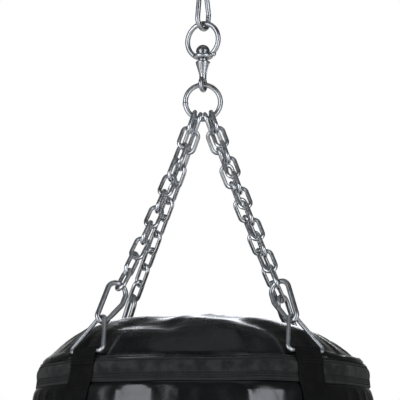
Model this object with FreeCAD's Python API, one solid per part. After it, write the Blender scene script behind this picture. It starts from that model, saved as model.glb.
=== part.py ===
import FreeCAD, Part
import math
import os

# Hanging punching bag with its hanging gear.
# Millimetres, +Z up. The origin is where the support's wire bears inside the narrow bow of the top
# snap hook. The bag hangs straight down from it; the front of the bag faces -Y.

os.makedirs("parts", exist_ok=True)

V = FreeCAD.Vector
X_AXIS = V(1, 0, 0)
Y_AXIS = V(0, 1, 0)
Z_AXIS = V(0, 0, 1)

# ------------------------------------------------------------------ driving dimensions
GAP = 0.3                     # clearance between pieces that bear on each other
BEARING_GAP = 0.5             # clearance where one wire swings on another
BOW_GAP = 0.9                 # clearance of a triangle in the narrow bow of its hook

HOOK_WIRE = 5.0               # snap hooks, 50 x 5
HOOK_LENGTH = 50.0
HOOK_WIDE_RADIUS = 9.6        # wire centre line of the wide bow
HOOK_NARROW_RADIUS = 5.4      # wire centre line of the narrow bow
HOOK_NOSE_DROP = 8.5          # straight nose below the wide bow's centre
HOOK_KNEE_RADIUS = 8.0
HOOK_REACH = 19.0             # knee to gate pivot
HOOK_TONGUE_THICKNESS = 1.8
GATE_SLOT = 2.4
GATE_SLIT = 0.4               # between the nose and the closed gate
GATE_LIP = 2.0                # tongue of the gate inside the nose
GATE_PIN_RADIUS = 1.0
GATE_PIN_PLAY = 0.08
GATE_BORE_RADIUS = 1.35
GATE_BORE_DEPTH = 8.0

RING_WIRE = 5.0               # upper and lower ring, 40 x 5
RING_OUTER = 40.0
UPPER_RING_TURN = -29.0       # plane of the upper ring about Z
TOP_HOOK_TURN = 57.0          # plane of the top hook about Z

EYELET_RADIUS = 7.7           # wire loop round the swivel pin, centre line
EYELET_WIRE = 4.8
EYELET_DROP = 16.2            # below the upper ring's centre
SWIVEL_SHAFT_RADIUS = 4.9
DOME_RADIUS = 7.0
DOME_HEIGHT = 7.4
WASHER_RADIUS = 6.0
WASHER_THICKNESS = 1.4
NECK_RADIUS = 4.7
NECK_HEIGHT = 2.2
YOKE_TOP_RADIUS = 7.2
YOKE_WAIST_RADIUS = 3.6
YOKE_HEIGHT = 13.8
EYE_RADIUS = 5.9              # eye under the yoke, centre line
EYE_WIRE = 4.6
EYE_TURN = 68.0               # plane of the eye about Z

LINK_WIRE = 4.0               # short-link chain, 4 mm
LINK_PITCH = 19.4
LINK_OUTER_WIDTH = 15.4
LINKS = 11
CHAIN_DROP = 262.0            # lower ring's centre to the collar's top edge

TRIANGLE_WIRE = 4.0
TRIANGLE_HEIGHT = 39.4        # apex wire centre to base bar centre
TRIANGLE_APEX_RADIUS = 5.2
TRIANGLE_CORNER_RADIUS = 3.2
TRIANGLE_BASE = 41.0          # centre line, at its widest

STRAP_WIDTH = 31.0
STRAP_THICKNESS = 2.0
STRAP_LENGTH = 300.0

COLLAR_RADIUS = 161.2
COLLAR_HEIGHT = 24.3
COLLAR_THICKNESS = 1.8
SHELL_WALL = 2.0
BAG_RADIUS = 171.0
BAG_LENGTH = 1200.0
BULGE_LENGTH = 58.0           # from the collar's foot to the full radius
BOTTOM_EDGE_RADIUS = 16.0
BINDING_HEIGHT = 18.0
BINDING_THICKNESS = 1.2
FOAM_THICKNESS = 22.0
COVER_HEIGHT = 48.0           # crown above the collar's top edge
CROWN_RADIUS = 490.0          # spherical crown of the top cover
CROWN_EDGE_RADIUS = 105.0     # where the crown turns into the shoulder
COVER_RIM_RADIUS = 152.2      # foot of the shoulder, inside the straps' loops
COVER_WALL = 2.4
COVER_SKIRT = 14.0            # tucked down inside the shell's rim
SHOULDER_POWER = 1.3          # fullness of the shoulder's curve

BAR_RADIUS = 157.2            # base bars of the triangles, from the bag's axis
BAR_ABOVE_COLLAR = 5.5

ZIP_TILT = 6.0                # the zip's great circle leans this far behind the crown's top
ZIP_HALF_ANGLE = 10.0         # degrees of arc to each side
ZIP_TAPE_LIFT = 0.5
ZIP_TAPE_WIDTH = 22.0
ZIP_TAPE_THICKNESS = 0.8
ZIP_TEETH_WIDTH = 6.0
ZIP_TEETH_HEIGHT = 1.8
SLIDER_END_ANGLE = 0.9        # slider centre to the end of the zip
PULL_LENGTH = 22.0
PULL_DROOP = 8.0              # degrees, the pull lies on the teeth
BRIDGE_HEIGHT = 4.5           # beam centre above the slider's sole

# Each corner: azimuth of its strap, radius and rise of its base bar beyond the common ones, place of
# its top link along the lower ring (degrees from the ring's lowest point), turn of its snap hook about
# the load line, lean of that hook's wide bow towards the bag's axis, sag of its chain, and the chain's
# twist in degrees at some of its links.
CORNERS = {
    "front_left": {"azimuth": -133.5, "bar_out": 0.0, "bar_up": 0.0, "ring_angle": -32.0,
                   "hook_turn": 20.0, "lean": 4.2, "sag": 4.2,
                   "twist": [(1, 0), (5, -90), (9, -90), (11, -42)]},
    "front_right": {"azimuth": -52.5, "bar_out": -1.0, "bar_up": 0.0, "ring_angle": 31.8,
                    "hook_turn": -20.0, "lean": 2.4, "sag": 1.0, "twist": [(1, 0), (9, 4), (11, 12)]},
    "back_left": {"azimuth": 127.5, "bar_out": 2.0, "bar_up": 4.1, "ring_angle": -12.8,
                  "hook_turn": 20.0, "lean": 0.0, "sag": 0.5, "twist": [(1, 0), (4, 45), (11, 54)]},
    "back_right": {"azimuth": 46.5, "bar_out": 0.0, "bar_up": 2.5, "ring_angle": 12.8,
                   "hook_turn": -12.0, "lean": 0.0, "sag": 2.0, "twist": [(1, 0), (11, -42)]},
}

# ------------------------------------------------------------------ heights worked out from them
HOOK_SPAN = HOOK_LENGTH - HOOK_WIRE
BOW_SHIFT = HOOK_WIDE_RADIUS - HOOK_NARROW_RADIUS
BOW_DROP = HOOK_SPAN - HOOK_WIDE_RADIUS - HOOK_NARROW_RADIUS
LOAD_TILT = math.degrees(math.atan2(BOW_SHIFT, BOW_DROP))
LOAD_SPAN = math.hypot(BOW_SHIFT, BOW_DROP) + HOOK_WIDE_RADIUS + HOOK_NARROW_RADIUS
RING_RADIUS = (RING_OUTER - RING_WIRE) / 2

TOP_BOW_Z = HOOK_WIRE / 2 - LOAD_SPAN
UPPER_RING_Z = TOP_BOW_Z + HOOK_WIRE / 2 + BEARING_GAP + RING_WIRE / 2 - RING_RADIUS
EYELET_Z = UPPER_RING_Z - EYELET_DROP
WASHER_Z = EYELET_Z + EYELET_WIRE / 2 + BEARING_GAP
DOME_Z = WASHER_Z + WASHER_THICKNESS + GAP / 2
NECK_TOP_Z = EYELET_Z - EYELET_WIRE / 2 - GAP
YOKE_TOP_Z = NECK_TOP_Z - NECK_HEIGHT - GAP / 2
YOKE_FOOT_Z = YOKE_TOP_Z - YOKE_HEIGHT
EYE_Z = YOKE_FOOT_Z - 3.6 - EYE_RADIUS
EYE_BAR_Z = EYE_Z - EYE_RADIUS
LOWER_RING_Z = EYE_BAR_Z + EYE_WIRE / 2 + BEARING_GAP + RING_WIRE / 2 - RING_RADIUS
COLLAR_TOP_Z = LOWER_RING_Z - CHAIN_DROP
COLLAR_FOOT_Z = COLLAR_TOP_Z - COLLAR_HEIGHT
BOTTOM_Z = COLLAR_TOP_Z - BAG_LENGTH
BAR_Z = COLLAR_TOP_Z + BAR_ABOVE_COLLAR
CROWN_CENTRE_Z = COLLAR_TOP_Z + COVER_HEIGHT - CROWN_RADIUS


# ------------------------------------------------------------------ helpers
def save(name, shape):
    """Write one node."""
    shape.exportStep("parts/" + name + ".step")


def turn_about(vector, axis, degrees):
    """The vector turned about an axis through the origin."""
    return FreeCAD.Rotation(axis, degrees).multVec(vector)


def unit(vector):
    return vector * (1.0 / vector.Length)


def square_to(vector, axis):
    """The unit part of a vector that is square to an axis."""
    return unit(vector - axis * vector.dot(axis))


def placement(origin, x_axis, z_axis):
    """Placement of a local frame, given its origin and two square unit axes."""
    y_axis = z_axis.cross(x_axis)
    rotation = FreeCAD.Rotation(x_axis, y_axis, z_axis, "ZXY")
    return FreeCAD.Placement(origin, rotation)


def placed(shape, where):
    return shape.transformed(where.toMatrix(), True)


def rod(path, radius):
    """Round wire along a smooth path."""
    edge = path.OrderedEdges[0]
    start = edge.FirstParameter if edge.Orientation == "Forward" else edge.LastParameter
    circle = Part.Circle(edge.valueAt(start), edge.tangentAt(start), radius)
    return path.makePipe(Part.Face(Part.Wire(circle.toShape())))


def belt(circles):
    """Closed path, in the XZ plane, round circles (x, z, radius) listed counter-clockwise."""
    count = len(circles)
    leave = []
    for i in range(count):
        x1, z1, r1 = circles[i]
        x2, z2, r2 = circles[(i + 1) % count]
        run = math.hypot(x2 - x1, z2 - z1)
        leave.append(math.atan2(z2 - z1, x2 - x1) - math.pi / 2 + math.asin((r1 - r2) / run))
    edges = []
    for i in range(count):
        x, z, r = circles[i]
        first = leave[i - 1]
        last = leave[i]
        while last < first:
            last += 2 * math.pi
        bend = [V(x + r * math.cos(a), 0, z + r * math.sin(a)) for a in (first, (first + last) / 2, last)]
        x2, z2, r2 = circles[(i + 1) % count]
        edges.append(Part.Arc(*bend).toShape())
        edges.append(Part.makeLine(bend[2], V(x2 + r2 * math.cos(last), 0, z2 + r2 * math.sin(last))))
    return Part.Wire(edges)


def arc(centre, radius, start, end):
    """Arc edge in the XZ plane, angles in degrees, from start to end."""
    points = []
    for angle in (start, (start + end) / 2, end):
        a = math.radians(angle)
        points.append(V(centre[0] + radius * math.cos(a), 0, centre[1] + radius * math.sin(a)))
    return Part.Arc(*points).toShape(), points[0], points[2]


def revolve(points):
    """Solid of revolution about Z from (radius, z) corners."""
    corners = [V(r, 0, z) for r, z in points]
    return Part.Face(Part.makePolygon(corners + corners[:1])).revolve(V(0, 0, 0), Z_AXIS, 360)


# ------------------------------------------------------------------ snap hook
# Local frame: the load line is Z and runs through both bows' centres, the wide bow is at the top with
# its wire centre at the origin, the hook lies in the XZ plane, the spine is at -X and the gate at +X.
# It is drawn upright first, round the wide bow's centre, and then tilted to the load line.
WIDE = (0.0, 0.0)
NARROW = (-BOW_SHIFT, -BOW_DROP)
KNEE = (HOOK_WIDE_RADIUS, -HOOK_NOSE_DROP)


def gate_line():
    """Unit direction from the knee down the gate, and its distance to the narrow bow."""
    dx = NARROW[0] - KNEE[0]
    dz = NARROW[1] - KNEE[1]
    run = math.hypot(dx, dz)
    angle = math.atan2(dz, dx) + math.asin(HOOK_NARROW_RADIUS / run)
    return math.cos(angle), math.sin(angle), math.sqrt(run ** 2 - HOOK_NARROW_RADIUS ** 2)


GATE_X, GATE_Z, GATE_TO_BOW = gate_line()
KNEE_TURN = math.degrees(math.atan2(-GATE_X, -GATE_Z))
KNEE_TANGENT = HOOK_KNEE_RADIUS * math.tan(math.radians(KNEE_TURN) / 2)


def on_gate(distance):
    """Point on the gate's line, measured down from the knee."""
    return V(KNEE[0] + GATE_X * distance, 0, KNEE[1] + GATE_Z * distance)


GATE_DIRECTION = V(GATE_X, 0, GATE_Z)
PIVOT = on_gate(HOOK_REACH)


def to_load_frame(shape):
    """From the upright drawing, centred on the wide bow, to the load-line frame."""
    moved = shape.copy()
    moved.rotate(V(0, 0, 0), Y_AXIS, -LOAD_TILT)
    moved.translate(V(0, 0, -HOOK_WIDE_RADIUS))
    return moved


def hook_path():
    """Wire centre line from the gate's slit over the wide bow, down the spine and round the foot."""
    knee_centre = (HOOK_WIDE_RADIUS - HOOK_KNEE_RADIUS, -HOOK_NOSE_DROP + KNEE_TANGENT)
    knee, slit, nose_foot = arc(knee_centre, HOOK_KNEE_RADIUS, -KNEE_TURN, 0)
    wide, wide_start, wide_end = arc(WIDE, HOOK_WIDE_RADIUS, 0, 180)
    narrow, narrow_start, narrow_end = arc(NARROW, HOOK_NARROW_RADIUS, 180, 360 - KNEE_TURN)
    stub_end = on_gate(HOOK_REACH + 3.0)
    return Part.Wire([
        knee,
        Part.makeLine(nose_foot, wide_start),
        wide,
        Part.makeLine(wide_end, narrow_start),
        narrow,
        Part.makeLine(narrow_end, stub_end),
    ])


def slab(start, direction, length, width, thickness):
    """Box along a line in the XZ plane: width in the plane, thickness along Y."""
    box = Part.makeBox(width, thickness, length, V(-width / 2, -thickness / 2, 0))
    return placed(box, placement(start, Y_AXIS.cross(direction), direction))


def hook_body():
    """Bent wire with a slotted nose and a flat tongue that carries the gate."""
    body = rod(hook_path(), HOOK_WIRE / 2)
    nose = slab(on_gate(KNEE_TANGENT + 0.5), -GATE_DIRECTION, GATE_LIP + 1.1, 2 * HOOK_WIRE, 2.0)
    eye = Part.makeCylinder(2.3, HOOK_TONGUE_THICKNESS, PIVOT - Y_AXIS * HOOK_TONGUE_THICKNESS / 2, Y_AXIS)
    tongue = slab(PIVOT, GATE_DIRECTION, 4.5, 4.2, HOOK_TONGUE_THICKNESS)
    hole = Part.makeCylinder(GATE_PIN_RADIUS + GATE_PIN_PLAY, HOOK_WIRE, PIVOT - Y_AXIS * HOOK_WIRE / 2, Y_AXIS)
    return to_load_frame(body.cut(nose).fuse([eye, tongue]).cut(hole))


def hook_gate():
    """Round bar with a forked heel on the pin, a spring bore and a lip in the nose's slot."""
    tip = KNEE_TANGENT + GATE_SLIT
    bar_length = HOOK_REACH + HOOK_WIRE / 2 - tip
    bar = Part.makeCylinder(HOOK_WIRE / 2, bar_length, on_gate(tip), GATE_DIRECTION)
    heel = Part.makeCylinder(HOOK_WIRE / 2, HOOK_WIRE, PIVOT - Y_AXIS * HOOK_WIRE / 2, Y_AXIS)
    front = slab(on_gate(tip), GATE_DIRECTION, HOOK_REACH - tip, HOOK_WIRE, HOOK_WIRE)
    bar = bar.common(heel.fuse(front))
    lip = slab(on_gate(tip + 1.0), -GATE_DIRECTION, GATE_LIP + 1.0 + GATE_SLIT, HOOK_WIRE - 0.6, 1.4)
    slot_start = HOOK_REACH - 3.2
    slot = slab(on_gate(slot_start), GATE_DIRECTION, 7.0, 2 * HOOK_WIRE, GATE_SLOT)
    bore = Part.makeCylinder(GATE_BORE_RADIUS, GATE_BORE_DEPTH + 0.5, on_gate(slot_start + 0.5), -GATE_DIRECTION)
    hole = Part.makeCylinder(GATE_PIN_RADIUS, HOOK_WIRE, PIVOT - Y_AXIS * HOOK_WIRE / 2, Y_AXIS)
    return to_load_frame(bar.fuse(lip).cut(slot).cut(bore).cut(hole))


def hook_pin():
    """Rivet through the gate's fork and the hook's tongue."""
    length = HOOK_WIRE - 0.8
    return to_load_frame(Part.makeCylinder(GATE_PIN_RADIUS, length, PIVOT - Y_AXIS * length / 2, Y_AXIS))


def hook_spring():
    """Compression spring in the gate's bore."""
    coil_radius = 0.85
    wire_radius = 0.22
    coil = Part.makeHelix(1.3, GATE_BORE_DEPTH - 2 * wire_radius - 0.3, coil_radius)
    profile = Part.Wire(Part.Circle(V(coil_radius, 0, 0), Y_AXIS, wire_radius).toShape())
    spring = Part.Wire(coil.Edges).makePipeShell([profile], True, True)
    seat = on_gate(HOOK_REACH - 3.2) - GATE_DIRECTION * (wire_radius + 0.05)
    return to_load_frame(placed(spring, placement(seat, Y_AXIS, -GATE_DIRECTION)))


def build_hook(prefix, where):
    """Four nodes of one snap hook at its place."""
    save(prefix + "_body", placed(hook_body(), where))
    save(prefix + "_gate", placed(hook_gate(), where))
    save(prefix + "_pin", placed(hook_pin(), where))
    save(prefix + "_spring", placed(hook_spring(), where))


# ------------------------------------------------------------------ top hook, rings and swivel
def level(degrees):
    """Level unit vector at an angle from +X."""
    return V(math.cos(math.radians(degrees)), math.sin(math.radians(degrees)), 0)


def top_hook_place():
    """The top hook hangs with its wide bow down and its gate to the back right."""
    return placement(V(0, 0, TOP_BOW_Z), level(TOP_HOOK_TURN), -Z_AXIS)


def upper_ring():
    """Ring whose wire runs into a level eyelet round the swivel pin, with one free wire end."""
    sink = math.degrees(math.asin(EYELET_RADIUS / RING_RADIUS))
    bow = Part.Wire([arc((0, 0), RING_RADIUS, -90 + sink, 270 - sink)[0]])
    eyelet = Part.makeTorus(EYELET_RADIUS, EYELET_WIRE / 2, V(0, 0, -EYELET_DROP), Z_AXIS)
    bore = Part.makeCylinder(EYELET_RADIUS - EYELET_WIRE / 2, RING_WIRE * 2, V(0, 0, -EYELET_DROP - RING_WIRE))
    tail_start = V(EYELET_RADIUS + 1.2, -1.0, -EYELET_DROP - 0.2)
    tail_direction = unit(V(1.0, -0.25, 0.22))
    tail_end = tail_start + tail_direction * 4.8
    tail = Part.makeCylinder(EYELET_WIRE / 2 - 0.2, 4.8, tail_start, tail_direction)
    tip = Part.makeSphere(EYELET_WIRE / 2 + 0.1, tail_end)
    ring = rod(bow, RING_WIRE / 2).fuse([eyelet, tail, tip]).cut(bore)
    return placed(ring, placement(V(0, 0, UPPER_RING_Z), level(UPPER_RING_TURN), Z_AXIS))


def swivel_pin():
    """Domed rivet whose shaft runs down through the eyelet into the yoke."""
    ball = (DOME_RADIUS ** 2 + DOME_HEIGHT ** 2) / (2 * DOME_HEIGHT)
    sphere = Part.makeSphere(ball, V(0, 0, DOME_Z + DOME_HEIGHT - ball))
    head = sphere.common(Part.makeCylinder(DOME_RADIUS + 1, DOME_HEIGHT + 1, V(0, 0, DOME_Z)))
    foot = YOKE_TOP_Z - 5.0
    shaft = Part.makeCylinder(SWIVEL_SHAFT_RADIUS - 2.2, DOME_Z - foot, V(0, 0, foot))
    sleeve = Part.makeCylinder(SWIVEL_SHAFT_RADIUS, DOME_Z - WASHER_Z, V(0, 0, WASHER_Z))
    core = Part.makeCylinder(SWIVEL_SHAFT_RADIUS, WASHER_Z - NECK_TOP_Z, V(0, 0, NECK_TOP_Z))
    return head.fuse([shaft, sleeve, core])


def washer(z, outer, inner, thickness):
    disc = Part.makeCylinder(outer, thickness, V(0, 0, z))
    return disc.cut(Part.makeCylinder(inner, thickness, V(0, 0, z)))


def swivel_yoke():
    """Tapered yoke with fluted faces and an eye under it."""
    waist = YOKE_FOOT_Z
    cone = revolve([
        (0, YOKE_TOP_Z),
        (YOKE_TOP_RADIUS - 0.8, YOKE_TOP_Z),
        (YOKE_TOP_RADIUS, YOKE_TOP_Z - 0.8),
        (YOKE_TOP_RADIUS, YOKE_TOP_Z - 2.0),
        (YOKE_WAIST_RADIUS, waist),
        (YOKE_WAIST_RADIUS, EYE_Z + EYE_RADIUS - 0.5),
        (0, EYE_Z + EYE_RADIUS - 0.5),
    ])
    flutes = []
    for turn in (0, 90, 180, 270):
        start = V(0, -YOKE_TOP_RADIUS - 0.7, YOKE_TOP_Z - 2.6)
        end = V(0, -YOKE_WAIST_RADIUS - 1.0, waist + 1.0)
        flute = Part.makeCylinder(2.0, (end - start).Length, start, end - start)
        flute.rotate(V(0, 0, 0), Z_AXIS, turn + EYE_TURN)
        flutes.append(flute)
    eye = Part.makeTorus(EYE_RADIUS, EYE_WIRE / 2, V(0, 0, EYE_Z), Y_AXIS)
    eye.rotate(V(0, 0, EYE_Z), Z_AXIS, EYE_TURN)
    socket = Part.makeCylinder(SWIVEL_SHAFT_RADIUS - 2.2, 5.0, V(0, 0, YOKE_TOP_Z - 5.0))
    return cone.cut(flutes).fuse(eye).cut(socket)


def lower_ring():
    """Closed ring with a weld bump on its left side."""
    ring = Part.makeTorus(RING_RADIUS, RING_WIRE / 2, V(0, 0, LOWER_RING_Z), Y_AXIS)
    bump_at = V(-RING_RADIUS * math.cos(math.radians(6)), 0, -RING_RADIUS * math.sin(math.radians(6)))
    bump = Part.makeSphere(RING_WIRE / 2 + 0.45, bump_at + V(0, 0, LOWER_RING_Z))
    return ring.fuse(bump)


# ------------------------------------------------------------------ corners: chain, hook, triangle
def chain_start(corner):
    """Point on the lower ring's wire where the chain hangs."""
    angle = math.radians(corner["ring_angle"])
    return V(RING_RADIUS * math.sin(angle), 0, LOWER_RING_Z - RING_RADIUS * math.cos(angle))


def triangle_place(corner):
    """Triangle frame: apex wire at the origin, X along the base bar, Z up the triangle's height."""
    outward = level(corner["azimuth"])
    bar = outward * (BAR_RADIUS + corner["bar_out"]) + V(0, 0, BAR_Z + corner["bar_up"])
    sideways = Z_AXIS.cross(outward)
    up = square_to(chain_start(corner) - bar, sideways)
    return placement(bar + up * TRIANGLE_HEIGHT, sideways, up)


def load_line(corner):
    """Top point on the ring, triangle's apex, and the unit direction from one to the other."""
    start = chain_start(corner)
    apex = triangle_place(corner).Base
    return start, apex, unit(apex - start)


def hook_place(corner):
    """Snap hook frame: wide bow up at the chain's end, gate towards the bag's axis."""
    start, apex, down = load_line(corner)
    span = LOAD_SPAN - HOOK_WIRE / 2 - TRIANGLE_WIRE / 2 - BOW_GAP
    inward = square_to(-level(corner["azimuth"]), down)
    along = unit(down * span - inward * corner["lean"])
    inward = square_to(inward, along)
    return placement(apex - along * span, turn_about(inward, along, corner["hook_turn"]), -along)


def chain_link():
    """One link in the XZ plane, centred on the origin."""
    bend = (LINK_OUTER_WIDTH - LINK_WIRE) / 2
    reach = (LINK_PITCH + LINK_WIRE) / 2 - bend
    return rod(belt([(0, -reach, bend), (0, reach, bend)]), LINK_WIRE / 2)


def twist_at(stations, link):
    """Twist of a link, in degrees, between the corner's stations."""
    for (low, low_angle), (high, high_angle) in zip(stations, stations[1:]):
        if link <= high:
            return low_angle + (high_angle - low_angle) * (link - low) / (high - low)
    return stations[-1][1]


def chain(corner):
    """Eleven interlocked links from the lower ring to the corner's snap hook, sagging a little."""
    start, apex, down = load_line(corner)
    top = start - down * (RING_WIRE / 2 + BEARING_GAP)
    foot = hook_place(corner).Base + down * (HOOK_WIRE / 2 + GAP)
    inward = square_to(-level(corner["azimuth"]), down)
    joints = []
    for i in range(LINKS + 1):
        share = i / LINKS
        joints.append(top + (foot - top) * share + inward * (4 * corner["sag"] * share * (1 - share)))
    links = []
    for i in range(LINKS):
        along = unit(joints[i + 1] - joints[i])
        twist = twist_at(corner["twist"], i + 1) + 90 * (i % 2)
        normal = turn_about(square_to(X_AXIS, along), along, twist)
        centre = (joints[i] + joints[i + 1]) * 0.5
        links.append(placed(chain_link(), placement(centre, normal.cross(-along), -along)))
    return Part.makeCompound(links)


def triangle_ring(corner):
    """Closed triangle of round wire: apex in the hook's narrow bow, base bar in the strap."""
    half = TRIANGLE_BASE / 2 - TRIANGLE_CORNER_RADIUS
    foot = TRIANGLE_CORNER_RADIUS - TRIANGLE_HEIGHT
    path = belt([
        (0, -TRIANGLE_APEX_RADIUS, TRIANGLE_APEX_RADIUS),
        (-half, foot, TRIANGLE_CORNER_RADIUS),
        (half, foot, TRIANGLE_CORNER_RADIUS),
    ])
    return placed(rod(path, TRIANGLE_WIRE / 2), triangle_place(corner))


# ------------------------------------------------------------------ bag
def bag_radius(z):
    """Outer radius of the shell at a height: neck under the collar, then the bulge, then straight."""
    neck = COLLAR_RADIUS - COLLAR_THICKNESS - 0.2
    if z >= COLLAR_FOOT_Z:
        return neck
    share = min(1.0, (COLLAR_FOOT_Z - z) / BULGE_LENGTH)
    return neck + (BAG_RADIUS - neck) * math.sin(share * math.pi / 2)


def bulge_heights():
    """Heights at which the bulge is drawn, from the collar's foot down."""
    return [COLLAR_FOOT_Z - BULGE_LENGTH * i / 6 for i in range(7)]


def shell_outline(inset, top, bottom):
    """(radius, z) corners of the shell's surface moved inwards, from the top down."""
    points = [(bag_radius(top) - inset, top)]
    points += [(bag_radius(z) - inset, z) for z in bulge_heights() if z < top]
    points.append((BAG_RADIUS - inset, bottom))
    return points


def bag_shell():
    """Vinyl tube of the bag, closed below by the turned-in edge."""
    top = COLLAR_TOP_Z - 0.5
    edge = BOTTOM_Z + BOTTOM_EDGE_RADIUS
    outer = shell_outline(0, top, edge)
    inner = shell_outline(SHELL_WALL, top, edge)
    hem = []
    for i in range(1, 5):
        a = math.radians(90 * i / 4)
        r = BOTTOM_EDGE_RADIUS
        hem.append((BAG_RADIUS - r + r * math.cos(a), edge - r * math.sin(a)))
    hem_inner = [(r - SHELL_WALL * 0.6, z + SHELL_WALL) for r, z in hem]
    return revolve(outer + hem + list(reversed(hem_inner)) + list(reversed(inner)))


def top_collar():
    """Reinforcing band round the rim."""
    inner = COLLAR_RADIUS - COLLAR_THICKNESS
    return washer(COLLAR_FOOT_Z, COLLAR_RADIUS, inner, COLLAR_HEIGHT)


def crown_height(radius):
    """Height of the spherical crown at a radius."""
    return CROWN_CENTRE_Z + math.sqrt(CROWN_RADIUS ** 2 - radius ** 2)


def shoulder(inset):
    """Corners of the shoulder, from the crown's edge down to its foot."""
    foot_z = COLLAR_TOP_Z + 0.6
    edge_z = crown_height(CROWN_EDGE_RADIUS) - inset
    spread = COVER_RIM_RADIUS - inset - CROWN_EDGE_RADIUS
    points = []
    for i in range(7):
        a = math.radians(15 * i)
        rise = (edge_z - foot_z) * math.cos(a)
        points.append(V(CROWN_EDGE_RADIUS + spread * math.sin(a) ** SHOULDER_POWER, 0, foot_z + rise))
    return points


def crown_arc(inset):
    """Arc from the axis to the crown's edge."""
    heights = [(r, crown_height(r) - inset) for r in (0, CROWN_EDGE_RADIUS / 2, CROWN_EDGE_RADIUS)]
    points = [V(r, 0, z) for r, z in heights]
    return Part.Arc(*points).toShape(), points[0], points[2]


def top_cover():
    """Domed cover: spherical crown, round shoulder, and a skirt tucked inside the shell's rim."""
    rim = COLLAR_RADIUS - COLLAR_THICKNESS - 0.2 - SHELL_WALL - 0.6
    skirt_z = COLLAR_TOP_Z - COVER_SKIRT
    outer_crown, outer_apex, outer_edge = crown_arc(0)
    inner_crown, inner_apex, inner_edge = crown_arc(COVER_WALL)
    skirt = [V(rim, 0, COLLAR_TOP_Z - 0.8), V(rim, 0, skirt_z), V(rim - COVER_WALL, 0, skirt_z)]
    skirt.append(V(rim - COVER_WALL, 0, COLLAR_TOP_Z - 3.2))
    outline = [outer_edge] + shoulder(0)[1:] + skirt + list(reversed(shoulder(COVER_WALL)[1:])) + [inner_edge]
    edges = [outer_crown]
    edges += [Part.makeLine(a, b) for a, b in zip(outline, outline[1:])]
    edges += [inner_crown, Part.makeLine(inner_apex, outer_apex)]
    return Part.Face(Part.Wire(edges)).revolve(V(0, 0, 0), Z_AXIS, 360)


def bottom_panel():
    """Round panel, bowed down a little, inside the shell's turned-in edge."""
    rim = BAG_RADIUS - BOTTOM_EDGE_RADIUS - 1.8
    bow = 2.0
    return revolve([
        (0, BOTTOM_Z - bow),
        (rim * 0.6, BOTTOM_Z - bow * 0.7),
        (rim, BOTTOM_Z),
        (rim, BOTTOM_Z + SHELL_WALL),
        (0, BOTTOM_Z + SHELL_WALL),
    ])


def bottom_binding():
    """Band stitched round the foot of the shell."""
    z = BOTTOM_Z + BOTTOM_EDGE_RADIUS + 0.5
    return washer(z, BAG_RADIUS + GAP + BINDING_THICKNESS, BAG_RADIUS + GAP, BINDING_HEIGHT)


def foam_liner():
    """Foam sheet rolled inside the shell."""
    top = COLLAR_TOP_Z - 16.0
    bottom = BOTTOM_Z + BOTTOM_EDGE_RADIUS + 2.0
    outer = shell_outline(SHELL_WALL + 0.6, top, bottom)
    inner = shell_outline(SHELL_WALL + 0.6 + FOAM_THICKNESS, top, bottom)
    return revolve(outer + list(reversed(inner)))


def textile_fill():
    """Packed textile, from the bottom panel up into the dome."""
    radius = bag_radius(COLLAR_TOP_Z) - SHELL_WALL - 0.6 - FOAM_THICKNESS - 0.6
    low = BOTTOM_Z + BOTTOM_EDGE_RADIUS + 2.0
    return revolve([
        (0, BOTTOM_Z + 2.6),
        (radius - 8, BOTTOM_Z + 2.6),
        (radius, low),
        (radius, COLLAR_TOP_Z - 6),
        (CROWN_EDGE_RADIUS, COLLAR_TOP_Z + 22),
        (0, COLLAR_TOP_Z + 30),
    ])


def strap(corner):
    """Webbing: round the base bar, folded back behind itself, then down the outside of the bag."""
    outward = level(corner["azimuth"])
    bar_radius = BAR_RADIUS + corner["bar_out"]
    bar_z = BAR_Z + corner["bar_up"]
    bore = TRIANGLE_WIRE / 2 + GAP
    loop = bore + STRAP_THICKNESS
    face = COLLAR_RADIUS + 0.5
    hug = [(face, COLLAR_TOP_Z + 0.7), (face, COLLAR_FOOT_Z + 4.0)]
    hug += [(bag_radius(z) + 1.1, z) for z in bulge_heights()[1:]]
    hug.append((BAG_RADIUS + 1.1, bar_z - STRAP_LENGTH))
    outer = [(r + STRAP_THICKNESS, z) for r, z in reversed(hug)]
    start = (bar_radius - loop * 0.5, bar_z - loop * 0.8)
    end = (bar_radius + loop * 0.97, bar_z + loop * 0.2)
    corners = [V(r, 0, z) for r, z in [start] + hug + outer + [end]]
    tail = Part.Face(Part.makePolygon(corners + corners[:1])).extrude(Y_AXIS * STRAP_WIDTH)
    round_bar = Part.makeCylinder(loop, STRAP_WIDTH, V(bar_radius, 0, bar_z), Y_AXIS)
    hole = Part.makeCylinder(bore, STRAP_WIDTH, V(bar_radius, 0, bar_z), Y_AXIS)
    band = tail.fuse(round_bar).cut(hole)
    band.translate(V(0, -STRAP_WIDTH / 2, 0))
    return placed(band, placement(V(0, 0, 0), outward, Z_AXIS))


# ------------------------------------------------------------------ zip in the top cover
def lean_back(shape):
    """From the level great circle to the zip's, behind the crown's top."""
    moved = shape.copy()
    moved.rotate(V(0, 0, CROWN_CENTRE_Z), X_AXIS, -ZIP_TILT)
    return moved


def zip_strip(low, high, width):
    """Strip along the zip's arc, between two heights above the crown."""
    ends = (90 - ZIP_HALF_ANGLE, 90 + ZIP_HALF_ANGLE)
    lower, lower_first, lower_last = arc((0, CROWN_CENTRE_Z), CROWN_RADIUS + low, *ends)
    upper, upper_first, upper_last = arc((0, CROWN_CENTRE_Z), CROWN_RADIUS + high, *ends)
    edges = [lower, Part.makeLine(lower_last, upper_last), upper, Part.makeLine(upper_first, lower_first)]
    strip = Part.Face(Part.Wire(Part.__sortEdges__(edges))).extrude(Y_AXIS * width)
    strip.translate(V(0, -width / 2, 0))
    return strip


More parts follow.
